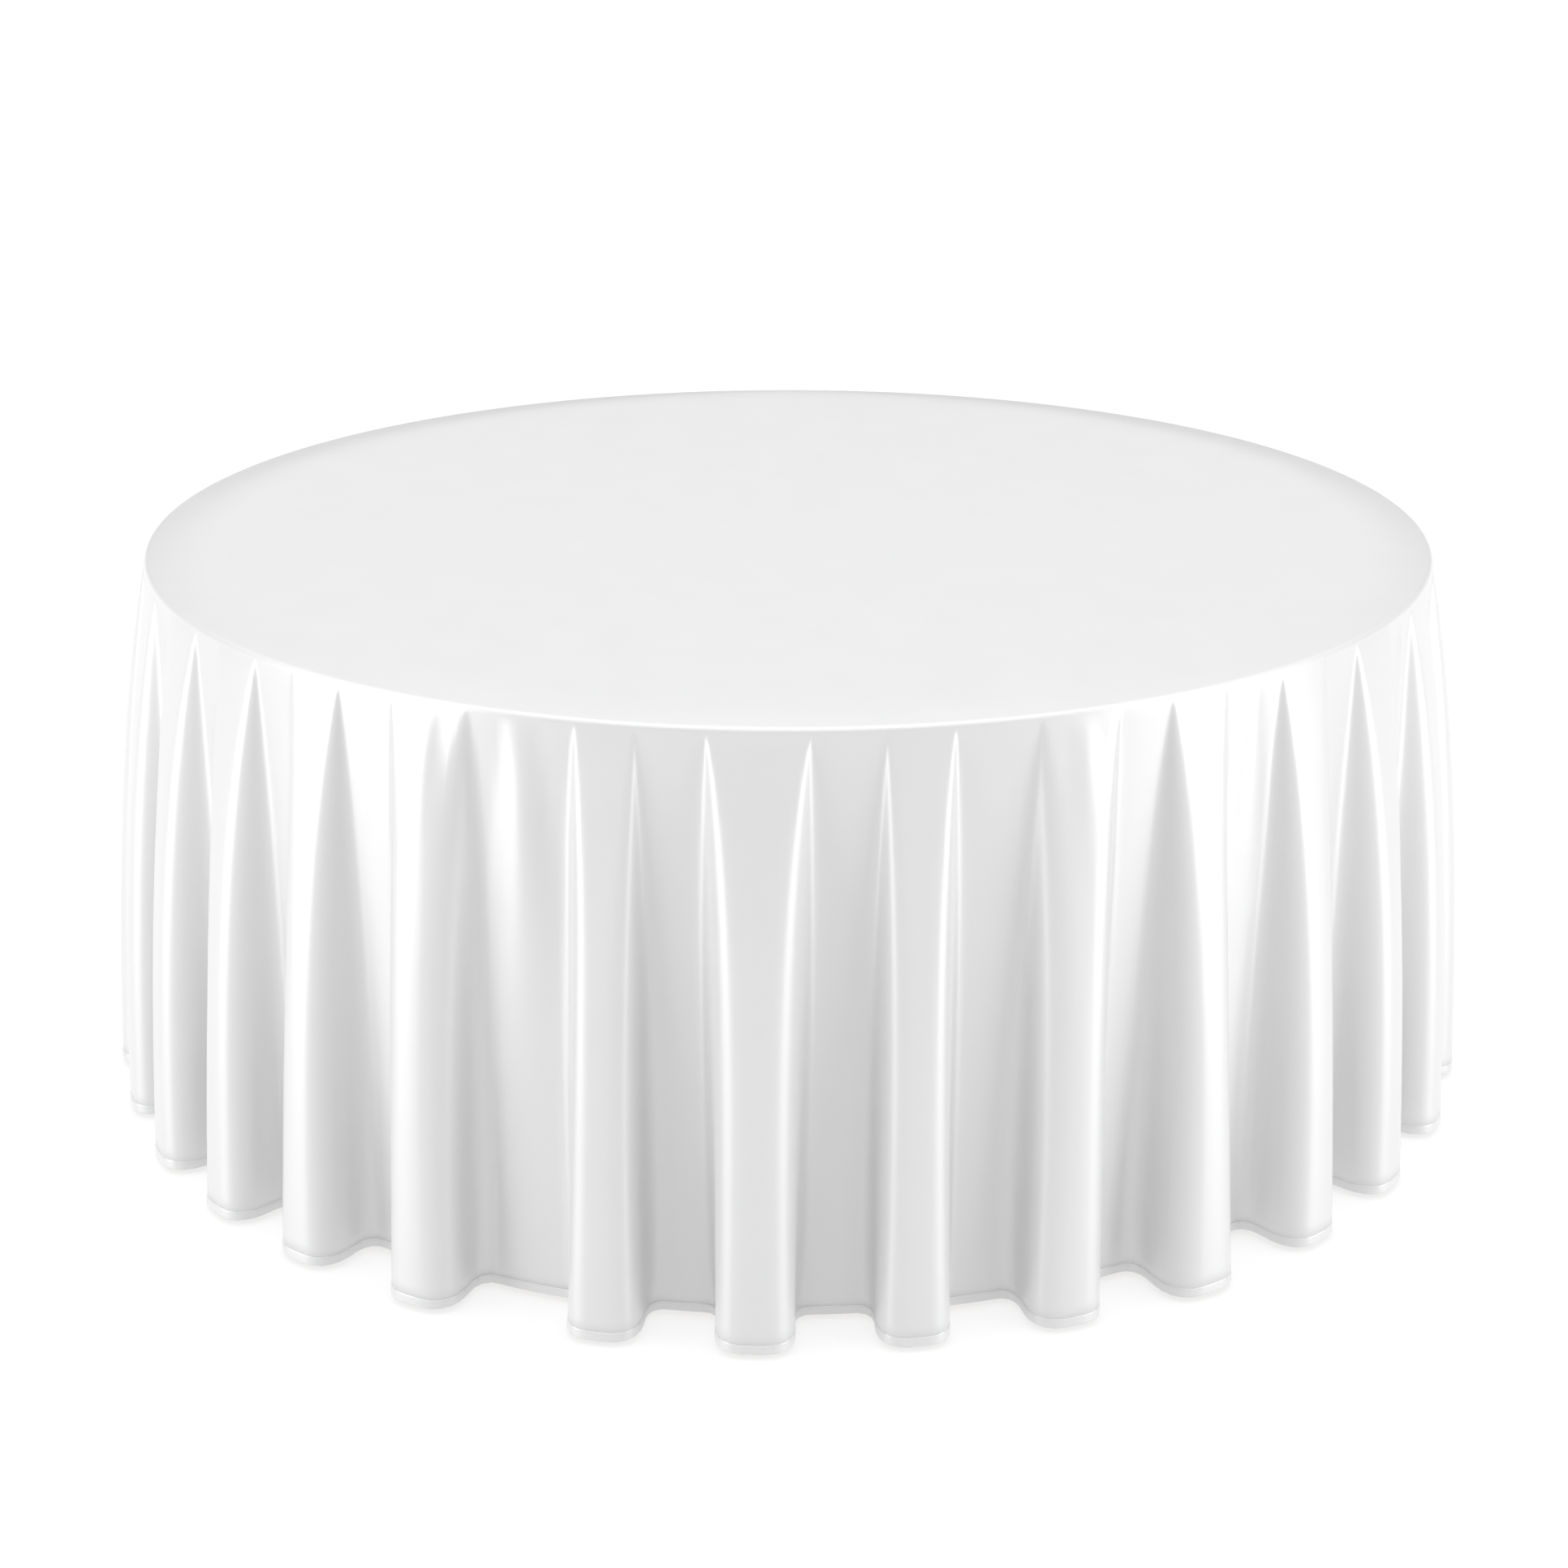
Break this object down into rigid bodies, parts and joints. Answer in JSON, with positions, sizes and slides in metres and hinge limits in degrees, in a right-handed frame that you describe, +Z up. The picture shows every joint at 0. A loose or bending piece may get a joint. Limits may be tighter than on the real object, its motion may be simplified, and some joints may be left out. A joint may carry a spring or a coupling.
{
  "type": "tablecloth on a table",
  "caption": "Round folding banquet table under a floor-length round satin tablecloth with a flat smooth top and a skirt in upright folds.",
  "frame": {"origin": "on the floor, under the middle of the table", "axes": "+Z up; the leg frames stand at +X and -X and fold towards each other; the front is -Y"},
  "size_m": [1.9792, 1.9792, 0.7647],
  "materials": {
    "satin": "white polyester satin, smooth, with a soft gloss",
    "plywood": "clear lacquered birch plywood",
    "band": "black vinyl edge band",
    "timber": "planed softwood",
    "painted_steel": "satin dark grey powder coat",
    "zinc_steel": "bright zinc plate",
    "foot_plastic": "matt black"
  },
  "bodies": {
    "table": {"tabletop": "plywood", "edge_band": "band", "cleat_right": "timber", "brace_bracket_right": "zinc_steel", "brace_pin_right": "zinc_steel", "pivot_bracket_right_a": "zinc_steel", "pivot_bracket_right_b": "zinc_steel", "screw_right_1": "zinc_steel", "screw_right_2": "zinc_steel", "screw_right_3": "zinc_steel", "screw_right_4": "zinc_steel", "screw_right_5": "zinc_steel", "screw_right_6": "zinc_steel", "cleat_left": "timber", "brace_bracket_left": "zinc_steel", "brace_pin_left": "zinc_steel", "pivot_bracket_left_a": "zinc_steel", "pivot_bracket_left_b": "zinc_steel", "screw_left_1": "zinc_steel", "screw_left_2": "zinc_steel", "screw_left_3": "zinc_steel", "screw_left_4": "zinc_steel", "screw_left_5": "zinc_steel", "screw_left_6": "zinc_steel"},
    "leg_frame_right": {"pivot_tube_right": "painted_steel", "crossbar_right": "painted_steel", "leg_right_a": "painted_steel", "leg_right_b": "painted_steel", "crossbar_collar_right_a": "zinc_steel", "crossbar_collar_right_b": "zinc_steel", "foot_cap_right_a": "foot_plastic", "foot_cap_right_b": "foot_plastic"},
    "brace_upper_right": {"brace_upper_link_right": "painted_steel", "knee_rivet_right": "zinc_steel"},
    "brace_lower_right": {"brace_lower_link_right": "painted_steel"},
    "leg_frame_left": {"pivot_tube_left": "painted_steel", "crossbar_left": "painted_steel", "leg_left_a": "painted_steel", "leg_left_b": "painted_steel", "crossbar_collar_left_a": "zinc_steel", "crossbar_collar_left_b": "zinc_steel", "foot_cap_left_a": "foot_plastic", "foot_cap_left_b": "foot_plastic"},
    "brace_upper_left": {"brace_upper_link_left": "painted_steel", "knee_rivet_left": "zinc_steel"},
    "brace_lower_left": {"brace_lower_link_left": "painted_steel"},
    "tablecloth": {"tablecloth_top": "satin", "tablecloth_skirt_01": "satin", "tablecloth_skirt_02": "satin", "tablecloth_skirt_03": "satin", "tablecloth_skirt_04": "satin", "tablecloth_skirt_05": "satin", "tablecloth_skirt_06": "satin", "tablecloth_skirt_07": "satin", "tablecloth_skirt_08": "satin", "tablecloth_skirt_09": "satin", "tablecloth_skirt_10": "satin", "tablecloth_skirt_11": "satin", "tablecloth_skirt_12": "satin", "tablecloth_hem": "satin"}
  },
  "joints": [
    {"name": "leg_fold_right", "type": "hinge", "parent": "table", "child": "leg_frame_right", "pos_m": [0.74, 0, 0.6977], "axis": [0, 1, 0], "range_deg": [0, 92]},
    {"name": "brace_top_right", "type": "hinge", "parent": "table", "child": "brace_upper_right", "pos_m": [0.385, 0, 0.724], "axis": [0, -1, 0], "range_deg": [0, 42.6]},
    {"name": "brace_foot_right", "type": "hinge", "parent": "leg_frame_right", "child": "brace_lower_right", "pos_m": [0.75082, 0, 0.38789], "axis": [0, 1, 0], "range_deg": [0, 38.8]},
    {"name": "leg_fold_left", "type": "hinge", "parent": "table", "child": "leg_frame_left", "pos_m": [-0.74, 0, 0.6977], "axis": [0, -1, 0], "range_deg": [0, 92]},
    {"name": "brace_top_left", "type": "hinge", "parent": "table", "child": "brace_upper_left", "pos_m": [-0.385, 0, 0.724], "axis": [0, 1, 0], "range_deg": [0, 42.6]},
    {"name": "brace_foot_left", "type": "hinge", "parent": "leg_frame_left", "child": "brace_lower_left", "pos_m": [-0.75082, 0, 0.38789], "axis": [0, -1, 0], "range_deg": [0, 38.8]},
    {"name": "cloth_lift", "type": "slide", "parent": "table", "child": "tablecloth", "axis": [0, 0, 1], "range_m": [0, 0.85]}
  ],
  "couplings": [
    {"joint": "brace_top_right", "follows": "leg_fold_right", "ratio": 0.46279},
    {"joint": "brace_foot_right", "follows": "leg_fold_right", "ratio": 0.42131},
    {"joint": "brace_top_left", "follows": "leg_fold_left", "ratio": 0.46279},
    {"joint": "brace_foot_left", "follows": "leg_fold_left", "ratio": 0.42131}
  ]
}
